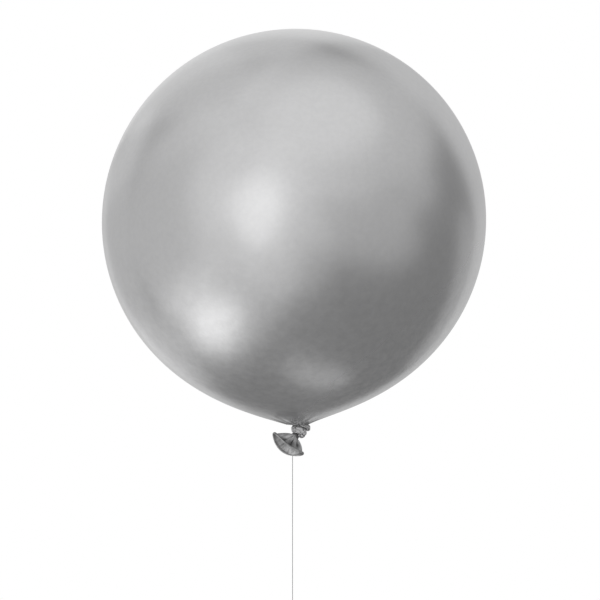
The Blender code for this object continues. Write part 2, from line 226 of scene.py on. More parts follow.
# From there in to the outer lap: sideways, and up from the hank's sides, as shares of that lap's reach
HANK_ENTRY = ((0.05, 1.66), (0.32, 1.32), (0.72, 0.97), (0.96, 0.46))
HANK_ENTRY_CROSSED = 0.72  # sideways, where the string has reached the outer row
HANK_RUN = 0.0160  # its straight sides
HANK_FOLD = 0.0025  # the radius of its innermost fold
HANK_LAYERS = 4  # and as many rows from front to back
HANK_PITCH = 0.0011
HANK_WAIST = 0.0019  # how far the tie squeezes its sides in
HANK_WAIST_REACH = 0.0050
FOLD_STEPS = 9
SIDE_STEPS = 5
TIE_WRAPS = 3
TIE_PITCH = 0.00115
TIE_BEND = (0, 30, 60, 90)  # degrees, at each of its corners
END_LENGTH = 0.0220
END_SHARES = (0.3, 0.5, 0.75, 1.0)
GAP = 0.0003
ROUTE_STEPS = 3  # smooth steps between two points of the string's route
SIDE_LEAST = 0.1  # a side shorter than this, of 1, no longer says which way a thread faces

# Tones, as red, green and blue, from the darkest to the lightest
SILVER_SMOOTH = ((0.73, 0.73, 0.735), (0.76, 0.76, 0.765))
SILVER_CLOUDY = ((0.68, 0.68, 0.685), (0.79, 0.79, 0.795))
SILVER_TINT = (0.85, 0.85, 0.85, 1.0)
NECK_TONES = ((0.54, 0.54, 0.545), (0.90, 0.90, 0.905))
CORD_TONES = ((0.15, 0.15, 0.155), (0.27, 0.27, 0.28))
SILVER_PAINTED_CREASE_SHADE = 0.35  # what a full crease leaves of the tone, as painted shade
NECK_PAINTED_CREASE_SHADE = 0.10
CREASE_FULL = 0.85  # the crease value of a full crease
BUMP_STRENGTH = 0.5

# Parts of a noise's values, from where a blend starts to where it ends
WHOLE_NOISE = (0.3, 0.7)
MIDDLE_NOISE = (0.32, 0.68)
NARROW_NOISE = (0.35, 0.65)

# Where the silver skin changes: a way, and the place's dot product with it at the change's start and end
TOWARDS_NECK = ((0.0, 0.0, -1.0), -0.02, 0.22)
TO_LOWER_RIGHT = ((1.0, 0.0, -1.0), 0.22, 0.34)

# Stage
FLOOR_HEIGHT = -2.45
FLOOR_RADIUS = 4.2
FLOOR_SIDES = 96
AMBIENT = 0.235
BACKDROP = 1.0
WHITE = (1.0, 1.0, 1.0, 1.0)


# Shared shapes


def smooth_route(points, steps):
    """Points on a smooth curve through all the given ones; each may carry more values than three."""
    ends = [points[0], *points, points[-1]]
    route = []
    for i in range(len(points) - 1):
        before, here, there, after = (Vector(p) for p in ends[i : i + 4])
        for k in range(steps):
            t = k / steps
            bend = t * (there - before) + t * t * (2 * before - 5 * here + 4 * there - after)
            bend += t * t * t * (3 * here - before - 3 * there + after)
            route.append(0.5 * (2 * here + bend))
    route.append(Vector(points[-1]))
    return route


def clamp(value):
    return max(0.0, min(1.0, value))


def smoothstep(share):
    share = clamp(share)
    return share * share * (3 - 2 * share)


def bell(value, middle, reach):
    """1 at the middle, and fading to nothing at about twice the reach on both sides."""
    return math.exp(-(((value - middle) / reach) ** 2))


def swell(share, power):
    """0 at both ends and 1 between them: halfway for a power of 1, and sooner for less."""
    return math.sin(math.pi * share**power)


def noise_round(angle, spread, row):
    """Smooth noise round a circle, about -0.5 to 0.5. It changes faster for a wider spread."""
    return noise.noise(Vector((spread * math.cos(angle), spread * math.sin(angle), row)))


def ring_mesh(name, rings, material, closed=False, crown=None, crease=None):
    """A smooth mesh through equal rings of points, with a UV map: u round a ring, v along the rings.

    Closed rings join up with the first one, a crown point shuts the first ring alone, and others get
    two flat ends. crease holds, for each ring, how deep its points lie in a crease, from 0 to 1, for
    painted shade.
    """
    sides = len(rings[0])
    points = [tuple(p) for ring in rings for p in ring]
    faces = []
    places = []
    last = len(rings) if closed else len(rings) - 1
    for i in range(last):
        low = i * sides
        high = (i + 1) % len(rings) * sides
        for k in range(sides):
            j = (k + 1) % sides
            faces.append((low + k, low + j, high + j, high + k))
            left, right = k / sides, (k + 1) / sides
            near, far = i / last, (i + 1) / last
            places += [(left, near), (right, near), (right, far), (left, far)]
    if crown is not None:
        points.append(tuple(crown))
        for k in range(sides):
            faces.append((len(points) - 1, (k + 1) % sides, k))
            places += [((k + 0.5) / sides, 0.0), ((k + 1) / sides, 0.0), (k / sides, 0.0)]
    elif not closed:
        faces.append(tuple(reversed(range(sides))))
        faces.append(tuple(range((len(rings) - 1) * sides, len(rings) * sides)))
        places += [(0.5, 0.0)] * sides + [(0.5, 1.0)] * sides
    mesh = bpy.data.meshes.new(name)
    mesh.from_pydata(points, [], faces)
    mesh.uv_layers.new(name="UVMap").uv.foreach_set("vector", [x for place in places for x in place])
    mesh.shade_smooth()
    mesh.materials.append(material)
    if crease is not None:
        depth = mesh.attributes.new("crease", "FLOAT", "POINT")
        values = [value for ring in crease for value in ring]
        values += [0.0] * (len(points) - len(values))
        depth.data.foreach_set("value", values)
    made = bpy.data.objects.new(name, mesh)
    bpy.context.scene.collection.objects.link(made)
    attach(made, "root")
    return made


def even_points(route, step):
    """The same line with its points an even step apart."""
    lengths = [0.0]
    for here, there in zip(route, route[1:]):
        lengths.append(lengths[-1] + (there - here).length)
    count = max(2, round(lengths[-1] / step))
    points = []
    at = 0
    for i in range(count + 1):
        wanted = lengths[-1] * i / count
        while at < len(route) - 2 and lengths[at + 1] < wanted:
            at += 1
        share = (wanted - lengths[at]) / (lengths[at + 1] - lengths[at])
        points.append(route[at].lerp(route[at + 1], share))
    return points


def thread_rings(route):
    """Rings of a thread of three twisted plies along a route."""
    points = even_points(route, THREAD_PITCH / THREAD_STEPS)
    side = Vector((1.0, 0.0, 0.0))
    rings = []
    travelled = 0.0
    for i, place in enumerate(points):
        before = points[max(i - 1, 0)]
        ahead = (points[min(i + 1, len(points) - 1)] - before).normalized()
        travelled += (place - before).length
        side = side - side.dot(ahead) * ahead
        if side.length < SIDE_LEAST:
            side = ahead.orthogonal()
        side = side.normalized()
        other = ahead.cross(side)
        twist = FULL_TURN * travelled / THREAD_PITCH
        ring = []
        for k in range(THREAD_SIDES):
            turn = FULL_TURN * k / THREAD_SIDES
            groove = THREAD_GROOVE * (1 - math.cos(THREAD_PLIES * (turn - twist)))
            radius = STRING_RADIUS * (1 - groove)
            ring.append(place + radius * (math.cos(turn) * side + math.sin(turn) * other))
        rings.append(ring)
    return rings


# The tail's and the string's places


def tail_axes():
    """(along the tail, towards the right, towards the back), each of length 1."""
    along = (MOUTH_CENTRE - TAIL_TOP).normalized()
    back = (BACKWARD - BACKWARD.dot(along) * along).normalized()
    return along, along.cross(back).normalized(), back


def waist_point(angle, along_by, off=0.0, half_long=WAIST_HALF_LONG, half_deep=WAIST_HALF_DEEP):
    """A point round the tail's waist, which is oval, off its surface by the given amount."""
    along, right, back = tail_axes()
    surface = half_long * math.cos(angle) * right + half_deep * math.sin(angle) * back
    outward = half_deep * math.cos(angle) * right + half_long * math.sin(angle) * back
    return TAIL_TOP + along_by * along + surface + off * outward.normalized()


def mouth_point(angle):
    """The middle line of the mouth's rolled lip. From 0 to half a turn it is the far lip."""
    across = math.sin(angle)
    tilt = (FAR_LIP_DROP - NEAR_LIP_DROP) / 2
    bow = (FAR_LIP_DROP + NEAR_LIP_DROP) / 2
    return (
        MOUTH_CENTRE
        + MOUTH_HALF_LONG * math.cos(angle) * MOUTH_LONG
        + (tilt * across + bow * across * across) * MOUTH_DROP
        + MOUTH_HALF_DEEP * across * BACKWARD
    )


def bead_radius(angle):
    return BEAD_RADIUS * (1 + BEAD_ENDS * math.cos(angle) ** BEAD_ENDS_FADE)


def string_knot_centre():
    return waist_point(STRING_KNOT_ANGLE, (WAIST_FROM + WAIST_TO) / 2, STRING_KNOT_OFF)


# Camera


def make_camera():
    data = bpy.data.cameras.new("camera")
    data.lens = CAMERA_LENS
    data.sensor_width = CAMERA_SENSOR
    camera = bpy.data.objects.new("camera", data)
    camera.location = CAMERA_PLACE
    camera.rotation_euler = (math.radians(90), 0.0, 0.0)
    bpy.context.scene.collection.objects.link(camera)
    bpy.context.scene.camera = camera


# String


def hanging_route():
    """From the string's knot, out and then plumb down to the hank: the same points as its solid's."""
    knot = string_knot_centre()
    plumb = Vector((STRING_X, STRING_Y, knot.z - STRING_BEND))
    sideways = Vector((plumb.x - knot.x, plumb.y - knot.y, 0.0))
    leave = (sideways.normalized() - Vector((0, 0, 1))).normalized()
    start = knot + (STRING_KNOT_RADIUS + STRING_GAPS * GAP) * leave
    turn = start.lerp(plumb, 0.5) + STRING_SWING * sideways
    route = smooth_route((start, turn, plumb), ROUTE_STEPS)
    drop = plumb.z - (HANK_TOP + HANK_LEAD)
    for i in range(1, STRING_STEPS + 1):
        route.append(plumb - Vector((0, 0, drop * i / STRING_STEPS)))
    return route


def hank_reach():
    return HANK_FOLD + (HANK_LAYERS - 1) * HANK_PITCH + STRING_RADIUS


def hank_middle():
    return HANK_TOP - HANK_RUN / 2 - hank_reach()


def hank_point(sideways, row, height):
    """A point of the hank: sideways from its middle before the tie's squeeze, a row from front to back."""
    squeeze = HANK_WAIST * bell(height, 0.0, HANK_WAIST_REACH)
    narrowed = math.copysign(max(0.0, abs(sideways) - squeeze), sideways)
    back = (row - (HANK_LAYERS - 1) / 2) * HANK_PITCH
    return Vector((STRING_X + narrowed, STRING_Y + back, hank_middle() + height))


def hank_lap(lap):
    """(layer sideways, row) of a lap: the first row winds inwards, the next one outwards, and so on."""
    row, layer = divmod(lap, HANK_LAYERS)
    return (HANK_LAYERS - 1 - layer if row % 2 == 0 else layer), row


def hank_route():
    """Flat laps, down the right side and up the left one, four side by side in each of four rows."""
    laps = HANK_LAYERS * HANK_LAYERS
    half = HANK_RUN / 2
    outer = HANK_FOLD + (HANK_LAYERS - 1) * HANK_PITCH
    middle_row = (HANK_LAYERS - 1) / 2
    route = []
    for across, above in HANK_ENTRY:
        row = middle_row * (1 - smoothstep(across / HANK_ENTRY_CROSSED))
        route.append(hank_point(across * outer, row, half + above * outer))
    for lap in range(laps):
        layer, row = hank_lap(lap)
        radius = HANK_FOLD + layer * HANK_PITCH
        for i in range(SIDE_STEPS):
            route.append(hank_point(radius, row, half - HANK_RUN * i / SIDE_STEPS))
        if lap == laps - 1:
            break
        for i in range(FOLD_STEPS):
            turn = math.pi * i / FOLD_STEPS
            route.append(hank_point(radius * math.cos(turn), row, -half - radius * math.sin(turn)))
        for i in range(SIDE_STEPS):
            route.append(hank_point(-radius, row, -half + HANK_RUN * i / SIDE_STEPS))
        next_layer, next_row = hank_lap(lap + 1)
        for i in range(FOLD_STEPS):
            turn = math.pi * i / FOLD_STEPS
            share = smoothstep(i / FOLD_STEPS)
            reach = radius + (next_layer - layer) * HANK_PITCH * share
            over = row + (next_row - row) * share
            route.append(hank_point(-reach * math.cos(turn), over, half + reach * math.sin(turn)))
    for across, below in reversed(HANK_ENTRY):
        row = HANK_LAYERS - 1 - middle_row * (1 - smoothstep(across / HANK_ENTRY_CROSSED))
        route.append(hank_point(across * outer, row, -half - below * outer))
    return route


def end_route():
    top = hank_middle() - HANK_RUN / 2 - hank_reach()
    bottom = top - GAP - END_LENGTH
    return [Vector((STRING_X, STRING_Y, top + (bottom - top) * share)) for share in END_SHARES]


def tie_route():
    """Wraps round the hank's waist, as one spiral with round corners."""
    side = hank_reach() - HANK_WAIST
    face = HANK_LAYERS * HANK_PITCH / 2
    bend = STRING_RADIUS
    corners = [(side, face, 0), (-side, face, 90), (-side, -face, 180), (side, -face, 270)]
    lap = []
    for x, y, start in corners:
        for turn in TIE_BEND:
            angle = math.radians(start + turn)
            lap.append((x + bend * math.cos(angle), y + bend * math.sin(angle)))
    route = []
    for i in range(len(lap) * TIE_WRAPS):
        x, y = lap[i % len(lap)]
        height = TIE_PITCH * (i / len(lap) - TIE_WRAPS / 2)
        route.append(Vector((STRING_X + x, STRING_Y + y, hank_middle() + height)))
    return route


def make_string(material):
    """One thread from its knot at the neck to its cut end, with its spare length in the hank."""
    tie = ring_mesh("tie_thread", thread_rings(tie_route()), material)
    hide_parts("hank_tie")
    corners = hanging_route() + hank_route() + end_route()
    route = smooth_route(corners, ROUTE_STEPS)
    string = ring_mesh("string_thread", thread_rings(route), material)
    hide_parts("string", "string_hank", "string_end")


def make_string_loop(material):
    """Two turns round the tail's waist, whose ends go into the string's own knot."""
    steps = LOOP_STEPS * LOOP_TURNS
    middle = (WAIST_FROM + WAIST_TO) / 2
    centre = string_knot_centre()
    route = [centre]
    for i in range(steps + 1):
        share = i / steps
        angle = STRING_KNOT_ANGLE + LOOP_CLEAR + share * (FULL_TURN * LOOP_TURNS - 2 * LOOP_CLEAR)
        near_end = max(0.0, 1 - min(share, 1 - share) * steps / LOOP_LIFT_STEPS)
        off = LOOP_SINK * STRING_RADIUS + LOOP_LIFT * near_end * near_end
        route.append(waist_point(angle, middle + LOOP_PITCH * LOOP_TURNS * (share - 0.5), off))
    route.append(centre)
    loop = ring_mesh("loop_thread", thread_rings(route), material)
    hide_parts("string_loop")


def make_string_knot(material):
    """A tight overhand knot: a trefoil of the same thread."""
    size = STRING_KNOT_THREAD * STRING_KNOT_RADIUS
    centre = string_knot_centre()
    along, right, back = tail_axes()
    route = []
    for i in range(STRING_KNOT_STEPS + 1):
        t = FULL_TURN * i / STRING_KNOT_STEPS
        across = math.sin(t) + 2 * math.sin(2 * t)
        over = math.cos(t) - 2 * math.cos(2 * t)
        route.append(centre + size * (across * right + over * along - math.sin(3 * t) * back))
    knot = ring_mesh("knot_thread", thread_rings(route), material)
    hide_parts("string_knot")


# Envelope


def skin_point(angle):
    """(radius, height, shift to the right) of the skin, at an angle from straight down."""
    reach = BALL_RADIUS + NECK_PULL * math.exp(-angle / NECK_PULL_REACH)
    shift = NECK_SHIFT * math.exp(-angle / NECK_SHIFT_REACH)
    return reach * math.sin(angle), -reach * math.cos(angle), shift


def pucker(turn, share):
    """Depth of the gathered folds round the neck, share 1 at the dimple's rim and 0 where they end."""
    drift = noise_round(turn, *PUCKER_NOISE)
    depth = PUCKER_DEPTH * share * share * (PUCKER_EVEN + PUCKER_UNEVEN * drift)
    return depth * math.cos(PUCKERS * turn + PUCKER_WANDER * drift)


def skin_shade(turn, gathered):
    """Crease value of the skin, as painted shade: in the puckers close to the knot, and at the sides of the
    neck's cone.
    """
    sunk = clamp(PUCKER_SHADE + pucker(turn, 1.0) / PUCKER_DEPTH)
    cone = CONE_SHADE * gathered**CONE_SHADE_FADE * math.cos(turn) ** 2
    return min(1.0, gathered**PUCKER_SHADE_FADE * sunk + cone)


def make_envelope(material):
    """The skin from the crown down to the neck, and up through the dimple to the knot's strand."""
    rim_angle = DIMPLE_RADIUS / (BALL_RADIUS + NECK_PULL)
    pucker_span = PUCKER_FROM - rim_angle
    angles = [math.pi - (math.pi - PUCKER_FROM) * i / BALL_RINGS for i in range(1, BALL_RINGS + 1)]
    angles += [PUCKER_FROM - pucker_span * i / PUCKER_RINGS for i in range(1, PUCKER_RINGS + 1)]
    circle = [FULL_TURN * i / BALL_SEGMENTS for i in range(BALL_SEGMENTS)]
    rings = []
    crease = []
    for angle in angles:
        radius, height, shift = skin_point(angle)
        gathered = max(0.0, (PUCKER_FROM - angle) / pucker_span)
        ring = []
        for turn in circle:
            sunk = pucker(turn, gathered)
            out = radius - PUCKER_DRAW * sunk
            across = out * math.cos(turn) + LEAN * height + shift
            ring.append((across, out * math.sin(turn), height + sunk))
        rings.append(ring)
        crease.append([skin_shade(turn, gathered) for turn in circle])
    rim, low, shift = skin_point(rim_angle)
    for i in range(1, DIMPLE_RINGS + 1):
        share = i / DIMPLE_RINGS
        out = rim + (NECK_HOLE - rim) * share
        height = low + DIMPLE_RISE * math.sin(share * math.pi / 2)
        middle = LEAN * height + shift + NECK_HOLE_SHIFT * share
        ring = []
        for turn in circle:
            sunk = pucker(turn, 1.0)
            ring.append((out * math.cos(turn) + middle, out * math.sin(turn), height + sunk))
        rings.append(ring)
    strand = KNOT_CENTRE + MM * Vector(KNOT_ROUTE[1][:3])
    inner = SKIN_ON_STRAND * MM * KNOT_ROUTE[1][3]
    rings.append([strand + inner * Vector((math.cos(turn), math.sin(turn), 0.0)) for turn in circle])
    # the dimple round the knot gets full painted shade
    crease += [[1.0] * BALL_SEGMENTS] * (DIMPLE_RINGS + 1)
    crown = (LEAN * BALL_RADIUS, 0.0, BALL_RADIUS)
    skin = ring_mesh("balloon_skin", rings, material, crown=crown, crease=crease)
    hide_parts("envelope")


# Knot


def fold(phase):
    """A round ridge between sharp creases, from -1 in a crease to 1 on the ridge."""
    return 2 * abs(math.cos(phase / 2)) ** FOLD_ROUNDNESS - 1


def strand_folds(turn, step, turning):
    """(pleat, fine line) at a turn round the strand and a step along it, below 0 in their creases."""
    spread, pace = KNOT_NOISE
    drift = noise_round(turn, spread, pace * step)
    twisted = turn + KNOT_TWIST * step
    pleat = fold(KNOT_PLEATS * twisted + KNOT_PLEAT_WANDER * drift + math.pi) * (KNOT_PLEAT_EVEN + drift)
    line = fold(KNOT_LINES * twisted + KNOT_LINE_WANDER * drift)
    return pleat * (1 - KNOT_PLEAT_EASE * turning), line


def make_knot(material):
    """The neck's flattened strand in an overhand knot, with folds along it and wrinkles in its turn."""
    route = smooth_route(KNOT_ROUTE, KNOT_STEPS)
    turning = [bell(i / KNOT_STEPS, KNOT_TURN, KNOT_TURN_REACH) for i in range(len(route))]
    middle = [p.to_3d() + KNOT_TUCK * share for p, share in zip(route, turning)]
    side = Vector((1.0, 0.0, 0.0))
    rings = []
    crease = []
    for i, place in enumerate(middle):
        ahead = (middle[min(i + 1, len(middle) - 1)] - middle[max(i - 1, 0)]).normalized()
        side = (side - side.dot(ahead) * ahead).normalized()
        other = ahead.cross(side)
        outward = place - Vector(KNOT_MIDDLE)
        outward = (outward - outward.dot(ahead) * ahead).normalized()
        edgeways = ahead.cross(outward)
        wide, thick = route[i][3] + KNOT_SWELL, route[i][4] + KNOT_SWELL
        wrinkle = turning[i] * fold(FULL_TURN * KNOT_WRINKLES * i / KNOT_STEPS)
        ring = []
        depths = []
        for k in range(KNOT_SIDES):
            turn = FULL_TURN * k / KNOT_SIDES
            ray = math.cos(turn) * side + math.sin(turn) * other
            reach = 1 / math.hypot(ray.dot(outward) / thick, ray.dot(edgeways) / wide)
            pleat, line = strand_folds(turn, i, turning[i])
            reach *= 1 + KNOT_PLEAT_DEPTH * pleat + KNOT_LINE_DEPTH * line + KNOT_WRINKLE_DEPTH * wrinkle
            ring.append(KNOT_CENTRE + MM * (place + reach * ray))
            # painted shade: deeper in the creases of the pleats, lines and wrinkles, less on their ridges
            sunk = KNOT_SHADE - pleat - KNOT_LINE_SHADE * line
            depths.append(clamp(sunk + KNOT_WRINKLE_SHADE * max(0.0, -wrinkle)))
        rings.append(ring)
        crease.append(depths)
    knot = ring_mesh("knot_strand", rings, material, crease=crease)
    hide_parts("neck_knot")


# Tail


def round_fold(angle):
    """How far the skirt stands out at an angle: round folds between creases, higher where they are wide."""
    turn = math.degrees(angle) % 360
    before = max((crease for crease in CREASES if crease <= turn), default=CREASES[-1] - 360)
    after = min((crease for crease in CREASES if crease > turn), default=CREASES[0] + 360)
    rise = min(FOLD_MOST, FOLD_RISE * math.radians(after - before))
    return rise * swell((turn - before) / (after - before), 1) ** FOLD_ROUNDNESS - FOLD_SUNK


def fine_fold(angle):
    return fold(FINE_FOLDS * angle + FINE_FOLD_WANDER * noise_round(angle, *FINE_FOLD_NOISE))


def skirt_shade(angle, share, broad, fine, inside):
    """Crease value of the skirt, at a share of the way from its waist to its lip: painted shade and light.
    """
    spread, pace = SKIRT_NOISE
    cloud = noise_round(angle, spread, pace * share)
    front = max(0.0, -math.sin(angle))
    left = max(0.0, -math.cos(angle))
    above_lip = 1 - share**3
    sunk = max(0.0, -broad / FOLD_SUNK) ** SKIRT_CREASE_FADE * above_lip * (SKIRT_CREASE_EVEN + cloud)
    depth = SKIRT_SHADE + SKIRT_CLOUD_SHADE * cloud + SKIRT_CREASE_SHADE * sunk
    depth += SKIRT_FINE_SHADE * (1 - share) * max(0.0, -fine)
    depth += SKIRT_LIP_SHADE * bell(share, SKIRT_LIP_AT, SKIRT_LIP_REACH) * front**3
    depth -= SKIRT_FOLD_PAINTED_LIGHT * max(0.0, broad) * (1 - SKIRT_FOLD_PAINTED_LIGHT_EASE * share)
    depth -= SKIRT_LEFT_PAINTED_LIGHT * above_lip * left * front
    if inside:
        edge = bell(share, INSIDE_EDGE_AT, INSIDE_EDGE_REACH) * max(0.0, math.sin(angle))
        depth = INSIDE_SHADE + INSIDE_CONTRAST * depth
        depth += edge * (INSIDE_EDGE_SHADE + INSIDE_EDGE_CLOUD * cloud)
    return clamp(depth)


def skirt_ring(share, inward):
    """One ring of the skirt, a share of the way from its waist to its lip, and its crease values."""
    along = tail_axes()[0]
    middle = (TAIL_TOP + WAIST_TO * along).lerp(MOUTH_CENTRE, share)
    groove = GROOVE_DEPTH * bell(share, GROOVE_AT, GROOVE_REACH)
    ring = []
    depths = []
    for i in range(TAIL_SEGMENTS):
        angle = FULL_TURN * i / TAIL_SEGMENTS
        top = waist_point(angle, WAIST_TO)
        lip = mouth_point(angle)
        lip += BEAD_OVER_SKIRT * bead_radius(angle) * (top - lip).normalized()
        point = top.lerp(lip, share)
        broad, fine = round_fold(angle), fine_fold(angle)
        out = broad * swell(share, FOLD_PEAK) + FINE_FOLD_DEPTH * fine * (1 - share) - inward
        out += SKIRT_BULGE * max(0.0, math.cos(angle)) ** 2 * swell(share, BULGE_PEAK)
        out += groove * math.sin(angle)
        ring.append(point + out * (point - middle).normalized())
        depths.append(skirt_shade(angle, share, broad, fine, inward > 0.0))
    return ring, depths


def waist_ring(along_by, half_long, half_deep):
    ring = []
    for i in range(TAIL_SEGMENTS):
        angle = FULL_TURN * i / TAIL_SEGMENTS
        ring.append(waist_point(angle, along_by, FINE_FOLD_DEPTH * fine_fold(angle), half_long, half_deep))
    return ring


def make_tail(material):
    """The gathered waist and the thin skirt below it, open at the mouth and hollow up to the waist."""
    shoulder = SHOULDER_RADIUS
    strand = NECK_ON_STRAND * MM * KNOT_ROUTE[-1][3]
    rings = [waist_ring(-NECK_IN_KNOT, strand, strand), waist_ring(0.0, shoulder, shoulder)]
    for i in range(1, SHOULDER_RINGS + 1):
        share = smoothstep(i / SHOULDER_RINGS)
        long_by = shoulder + (WAIST_HALF_LONG - shoulder) * share
        deep_by = shoulder + (WAIST_HALF_DEEP - shoulder) * share
        rings.append(waist_ring(WAIST_FROM * i / SHOULDER_RINGS, long_by, deep_by))
    for i in range(1, WAIST_RINGS):
        along_by = WAIST_FROM + (WAIST_TO - WAIST_FROM) * i / WAIST_RINGS
        rings.append(waist_ring(along_by, WAIST_HALF_LONG, WAIST_HALF_DEEP))
    # the waist gets an even painted shade
    crease = [[WAIST_SHADE] * TAIL_SEGMENTS for ring in rings]
    shares = [i / TAIL_RINGS for i in range(TAIL_RINGS + 1)]
    walls = [(share, 0.0) for share in shares] + [(share, TAIL_WALL) for share in reversed(shares)]
    for share, inward in walls:
        ring, depths = skirt_ring(share, inward)
        rings.append(ring)
        crease.append(depths)
    tail = ring_mesh("tail_skirt", rings, material, crease=crease)
    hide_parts("neck_tail")


def make_bead(material):
    """The rolled lip, with the lines of its roll, a little uneven in thickness."""
    points = [mouth_point(FULL_TURN * i / BEAD_STEPS) for i in range(BEAD_STEPS)]
    rings = []
    crease = []
    for i, place in enumerate(points):
        angle = FULL_TURN * i / BEAD_STEPS
        ahead = (points[(i + 1) % BEAD_STEPS] - points[i - 1]).normalized()
        side = (place - MOUTH_CENTRE).normalized()
        side = (side - side.dot(ahead) * ahead).normalized()
        other = ahead.cross(side)
        lump = noise_round(angle, *BEAD_NOISE)
        thick = bead_radius(angle) * (1 + BEAD_UNEVEN * lump)
        ring = []
        for k in range(BEAD_SIDES):
            turn = FULL_TURN * k / BEAD_SIDES
            line = 1 + BEAD_LINE_DEPTH * math.cos(BEAD_LINES * turn + BEAD_LINE_WANDER * lump)
            ring.append(place + thick * line * (math.cos(turn) * side + math.sin(turn) * other))
        rings.append(ring)
        # painted shade on the roll, deeper at its lumps and its folded ends
        depth = BEAD_SHADE + BEAD_LUMP_SHADE * max(0.0, lump)
        depth += BEAD_END_SHADE * math.cos(angle) ** BEAD_END_FADE
        crease.append([depth] * BEAD_SIDES)
    bead = ring_mesh("mouth_roll", rings, material, closed=True, crease=crease)
    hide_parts("mouth_bead")


# Materials


def new_material(name):
    material = bpy.data.materials.new(name)
    material.use_nodes = True
    return material, material.node_tree.nodes, material.node_tree.links


def set_inputs(node, values):
    for name, value in values.items():
        node.inputs[name].default_value = value


def noise_node(nodes, links, where, scale, detail=3.0, roughness=0.55):
    made = nodes.new("ShaderNodeTexNoise")
    set_inputs(made, {"Scale": scale, "Detail": detail, "Roughness": roughness})
    links.new(where, made.inputs["Vector"])
    return made.outputs["Fac"]


def greys(low, high):
    return (low,) * 3, (high,) * 3


def ramp_node(nodes, links, source, colours, ends=WHOLE_NOISE):
    """Blends from one colour or grey to another as the source goes between two ends."""
    made = nodes.new("ShaderNodeValToRGB")
    for stop, colour, place in zip(made.color_ramp.elements, colours, ends):
        stop.position = place
        stop.color = (*colour, 1.0)
    links.new(source, made.inputs["Fac"])
    return made.outputs["Color"]


def bump_node(nodes, links, source, depth, under=None):
    """Fine relief, over another one where that is given."""
    made = nodes.new("ShaderNodeBump")
    set_inputs(made, {"Distance": depth, "Strength": BUMP_STRENGTH})
    links.new(source, made.inputs["Height"])
    if under is not None:
        links.new(under, made.inputs["Normal"])
    return made.outputs["Normal"]


def mix_node(nodes, links, low, high, share):
    """Blends two colours by a share."""
    made = nodes.new("ShaderNodeMix")
    made.data_type = "RGBA"
    links.new(share, made.inputs["Factor"])
    links.new(low, made.inputs["A"])
    links.new(high, made.inputs["B"])
    return made.outputs["Result"]


def towards_node(nodes, links, where, way, start, end):
    """0 to 1 as the dot product of the place with a way goes from start to end."""
    along = nodes.new("ShaderNodeVectorMath")
    along.operation = "DOT_PRODUCT"
    along.inputs[1].default_value = way
    links.new(where, along.inputs[0])
    made = nodes.new("ShaderNodeMapRange")
    set_inputs(made, {"From Min": start, "From Max": end})
    links.new(along.outputs["Value"], made.inputs["Value"])
    return made.outputs["Result"]


def painted_crease_shade_node(nodes, links, colour, left):
    """Painted shade: the colour where a mesh's crease values are 0, and only the given share of it in a
    full crease.
    """
    crease = nodes.new("ShaderNodeAttribute")
    crease.attribute_name = "crease"
    shade = ramp_node(nodes, links, crease.outputs["Fac"], greys(1.0, left), (0.0, CREASE_FULL))
    made = nodes.new("ShaderNodeMix")
    made.data_type = "RGBA"
    made.blend_type = "MULTIPLY"
    made.inputs["Factor"].default_value = 1.0
    links.new(colour, made.inputs["A"])
    links.new(shade, made.inputs["B"])
    return made.outputs["Result"]


def silver_latex():
    """Stretched metallic latex: a satin mirror under a thin clear coat, glossier at the lower right.

    It is cloudier towards the neck, where it is thicker, and has painted shade at its creases and its
    cone's sides.
    """
    material, nodes, links = new_material("silver_latex")
    shader = nodes["Principled BSDF"]
    set_inputs(shader, {"Metallic": 1.0, "Specular Tint": SILVER_TINT})
    set_inputs(shader, {"Coat Weight": 0.15, "Coat Roughness": 0.14})
    where = nodes.new("ShaderNodeTexCoord").outputs["Object"]
    grain = noise_node(nodes, links, where, scale=130.0, detail=4.0, roughness=0.6)
    mottle = noise_node(nodes, links, where, scale=75.0, detail=5.0, roughness=0.65)
    cloud = noise_node(nodes, links, where, scale=9.0, detail=2.0)
    near_neck = towards_node(nodes, links, where, *TOWARDS_NECK)
    lower_right = towards_node(nodes, links, where, *TO_LOWER_RIGHT)
    smooth = ramp_node(nodes, links, grain, SILVER_SMOOTH, NARROW_NOISE)
    cloudy = ramp_node(nodes, links, mottle, SILVER_CLOUDY, MIDDLE_NOISE)
    # painted shade: the tone darkened by the skin's crease values
    colour = painted_crease_shade_node(nodes, links, mix_node(nodes, links, smooth, cloudy, near_neck), SILVER_PAINTED_CREASE_SHADE)
    satin = ramp_node(nodes, links, cloud, greys(0.31, 0.35))
    glossy = ramp_node(nodes, links, cloud, greys(0.25, 0.27))
    links.new(colour, shader.inputs["Base Color"])
    links.new(mix_node(nodes, links, satin, glossy, lower_right), shader.inputs["Roughness"])
    links.new(bump_node(nodes, links, grain, depth=0.0001), shader.inputs["Normal"])
    return material


